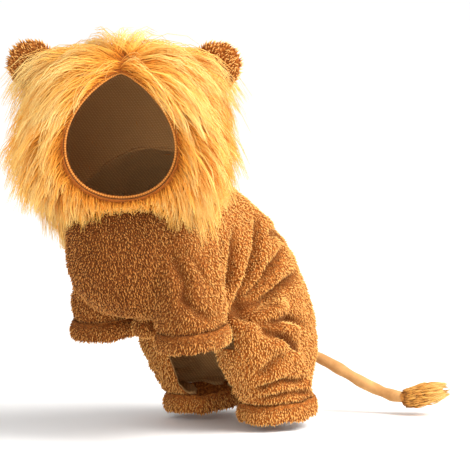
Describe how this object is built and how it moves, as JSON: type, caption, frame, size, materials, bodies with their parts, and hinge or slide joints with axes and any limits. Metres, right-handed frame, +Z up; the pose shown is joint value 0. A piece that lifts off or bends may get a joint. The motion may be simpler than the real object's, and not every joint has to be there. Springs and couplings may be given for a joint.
{
  "type": "lion dog costume",
  "caption": "Plush lion costume for a small dog: sleeved body, hood with a long mane and round ears, and a stuffed tail with a tuft.",
  "frame": {"origin": "the point of the back panel that lies on the withers of the dog that wears it, at the cloth's inner side, on the costume's middle plane", "axes": "+Z up; -Y the way the wearer's chest faces; +X the wearer's left, towards which the hood is turned"},
  "size_m": [0.2261, 0.4614, 0.4063],
  "materials": {
    "plush": "matte",
    "binding": "matte",
    "mane_fur": "satin",
    "tail_suede": "matte",
    "tuft_fur": "matte"
  },
  "bodies": {
    "root": {"body": "plush", "sleeve_left": "plush", "sleeve_right": "plush", "leg_left": "plush", "leg_right": "plush", "sleeve_cuff_left": "plush", "sleeve_cuff_right": "plush", "leg_cuff_left": "plush", "leg_cuff_right": "plush", "hood": "plush", "ear_left": "plush", "ear_right": "plush", "face_binding": "binding", "mane": "mane_fur", "tail": "tail_suede", "tail_tuft": "tuft_fur"}
  },
  "joints": []
}
